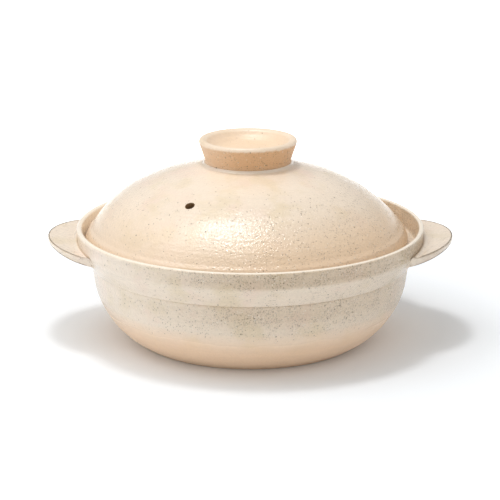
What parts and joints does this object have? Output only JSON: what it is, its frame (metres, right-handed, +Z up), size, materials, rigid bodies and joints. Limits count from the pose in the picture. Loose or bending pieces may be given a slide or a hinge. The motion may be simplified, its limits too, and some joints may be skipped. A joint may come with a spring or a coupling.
{
  "type": "donabe clay pot",
  "caption": "Wide round clay cooking pot with flat side lugs, a stepped collar and a domed lid that lifts off its inner ledge by a flared ring knob.",
  "frame": {"origin": "centre of the bowl's foot, on the surface that the pot stands on", "axes": "+Z up along the bowl's axis, +X towards the right handle, -Y towards the steam hole's side"},
  "size_m": [0.3094, 0.265, 0.154],
  "materials": {
    "bowl_glaze": "cream glaze over sandy clay, satin gloss, iron specks",
    "handle_glaze": "cream glaze, satin gloss, thin and brown at the edges",
    "lid_glaze": "cream glaze, satin gloss, fine pits and iron specks",
    "knob_glaze": "thin glaze over orange brown clay, matt and rough"
  },
  "bodies": {
    "pot": {"bowl": "bowl_glaze", "handle_left": "handle_glaze", "handle_right": "handle_glaze"},
    "lid": {"lid": "lid_glaze", "lid_knob": "knob_glaze"}
  },
  "joints": [
    {"name": "lid_lift", "type": "slide", "parent": "pot", "child": "lid", "axis": [0, 0, 1], "range_m": [0, 0.12]}
  ]
}
